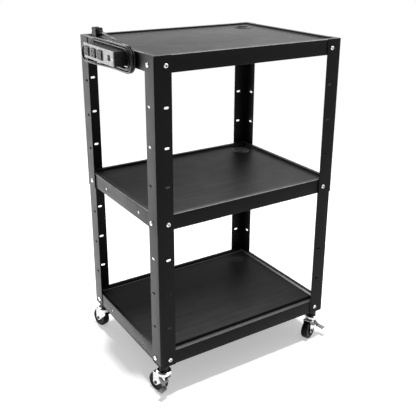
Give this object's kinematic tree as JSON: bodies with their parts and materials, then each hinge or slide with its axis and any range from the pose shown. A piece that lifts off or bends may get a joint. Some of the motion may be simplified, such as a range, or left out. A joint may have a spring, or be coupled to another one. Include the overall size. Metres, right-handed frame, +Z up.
{
  "type": "audio visual cart",
  "caption": "Open steel cart with pan shelves on slotted angle legs, swivel casters with foot brakes, cable grommets, and a side power strip with its cord wound round it.",
  "frame": {"origin": "on the floor, under the middle of the rectangle of the legs", "axes": "+Z up, +X along the long front side towards the right, +Y from the front to the back; the power strip is on the -X side"},
  "size_m": [0.6755, 0.5012, 1.0247],
  "materials": {
    "black_powder_coat": "fine satin powder coat",
    "zinc_plate": "bright zinc plate",
    "chrome_plate": "polished chrome plate",
    "black_plastic": "fine-grained black moulding",
    "hub_plastic": "black moulding",
    "tread_rubber": "matt black rubber",
    "grey_plastic": "light grey moulding",
    "cord_jacket": "soft dark grey vinyl jacket",
    "prong_metal": "nickel-plated brass"
  },
  "bodies": {
    "cart": {"top_shelf": "black_powder_coat", "middle_shelf": "black_powder_coat", "bottom_shelf": "black_powder_coat", "upper_leg_front_left": "black_powder_coat", "upper_leg_front_right": "black_powder_coat", "upper_leg_rear_left": "black_powder_coat", "upper_leg_rear_right": "black_powder_coat", "lower_leg_front_left": "black_powder_coat", "lower_leg_front_right": "black_powder_coat", "lower_leg_rear_left": "black_powder_coat", "lower_leg_rear_right": "black_powder_coat", "grommet_ring_top": "black_plastic", "grommet_cap_top": "black_plastic", "grommet_ring_middle": "black_plastic", "grommet_cap_middle": "black_plastic", "kingpin_front_left": "chrome_plate", "stem_collar_front_left": "black_plastic", "kingpin_front_right": "chrome_plate", "stem_collar_front_right": "black_plastic", "kingpin_rear_left": "chrome_plate", "stem_collar_rear_left": "black_plastic", "kingpin_rear_right": "chrome_plate", "stem_collar_rear_right": "black_plastic", "strip_bracket": "black_powder_coat", "bracket_screw_front": "zinc_plate", "bracket_screw_rear": "zinc_plate", "strip_housing": "black_plastic", "strip_faceplate": "grey_plastic", "outlet_rear": "grey_plastic", "outlet_middle": "grey_plastic", "outlet_front": "grey_plastic", "faceplate_screw_front": "zinc_plate", "faceplate_screw_rear": "zinc_plate", "cord_gland": "black_plastic", "power_cord_lead_in": "cord_jacket", "power_cord_winding": "cord_jacket", "power_cord_lead_out": "cord_jacket", "plug_body": "black_plastic", "plug_blade_lower": "prong_metal", "plug_blade_upper": "prong_metal", "plug_earth_pin": "prong_metal"},
    "caster_front_left": {"fork_front_left": "chrome_plate", "axle_front_left": "zinc_plate"},
    "wheel_front_left": {"wheel_hub_front_left": "hub_plastic", "wheel_tread_front_left": "tread_rubber"},
    "brake_front_left": {"brake_pedal_front_left": "zinc_plate"},
    "caster_front_right": {"fork_front_right": "chrome_plate", "axle_front_right": "zinc_plate"},
    "wheel_front_right": {"wheel_hub_front_right": "hub_plastic", "wheel_tread_front_right": "tread_rubber"},
    "brake_front_right": {"brake_pedal_front_right": "zinc_plate"},
    "caster_rear_left": {"fork_rear_left": "chrome_plate", "axle_rear_left": "zinc_plate"},
    "wheel_rear_left": {"wheel_hub_rear_left": "hub_plastic", "wheel_tread_rear_left": "tread_rubber"},
    "caster_rear_right": {"fork_rear_right": "chrome_plate", "axle_rear_right": "zinc_plate"},
    "wheel_rear_right": {"wheel_hub_rear_right": "hub_plastic", "wheel_tread_rear_right": "tread_rubber"},
    "switch": {"rocker_switch": "black_plastic"}
  },
  "joints": [
    {"name": "swivel_front_left", "type": "hinge", "parent": "cart", "child": "caster_front_left", "pos_m": [-0.2818, -0.2056, 0.0655], "axis": [0, 0, 1], "continuous": true},
    {"name": "wheel_spin_front_left", "type": "hinge", "parent": "caster_front_left", "child": "wheel_front_left", "pos_m": [-0.2886, -0.18468, 0.03], "axis": [-0.9511, -0.309, 0], "continuous": true},
    {"name": "brake_press_front_left", "type": "hinge", "parent": "caster_front_left", "child": "brake_front_left", "pos_m": [-0.28211, -0.20465, 0.0545], "axis": [0.9511, 0.309, 0], "range_deg": [0, 8]},
    {"name": "swivel_front_right", "type": "hinge", "parent": "cart", "child": "caster_front_right", "pos_m": [0.2818, -0.2056, 0.0655], "axis": [0, 0, 1], "continuous": true},
    {"name": "wheel_spin_front_right", "type": "hinge", "parent": "caster_front_right", "child": "wheel_front_right", "pos_m": [0.26126, -0.21348, 0.03], "axis": [0.3584, -0.9336, 0], "continuous": true},
    {"name": "brake_press_front_right", "type": "hinge", "parent": "caster_front_right", "child": "brake_front_right", "pos_m": [0.28087, -0.20596, 0.0545], "axis": [-0.3584, 0.9336, 0], "range_deg": [0, 8]},
    {"name": "swivel_rear_left", "type": "hinge", "parent": "cart", "child": "caster_rear_left", "pos_m": [-0.2818, 0.2056, 0.0655], "axis": [0, 0, 1], "continuous": true},
    {"name": "wheel_spin_rear_left", "type": "hinge", "parent": "caster_rear_left", "child": "wheel_rear_left", "pos_m": [-0.28749, 0.22685, 0.03], "axis": [-0.9659, -0.2588, 0], "continuous": true},
    {"name": "swivel_rear_right", "type": "hinge", "parent": "cart", "child": "caster_rear_right", "pos_m": [0.2818, 0.2056, 0.0655], "axis": [0, 0, 1], "continuous": true},
    {"name": "wheel_spin_rear_right", "type": "hinge", "parent": "caster_rear_right", "child": "wheel_rear_right", "pos_m": [0.26495, 0.21974, 0.03], "axis": [-0.6428, -0.766, 0], "continuous": true},
    {"name": "switch_rock", "type": "hinge", "parent": "cart", "child": "switch", "pos_m": [-0.3476, -0.0707, 0.96625], "axis": [0, 1, 0], "range_deg": [-18, 0]}
  ]
}
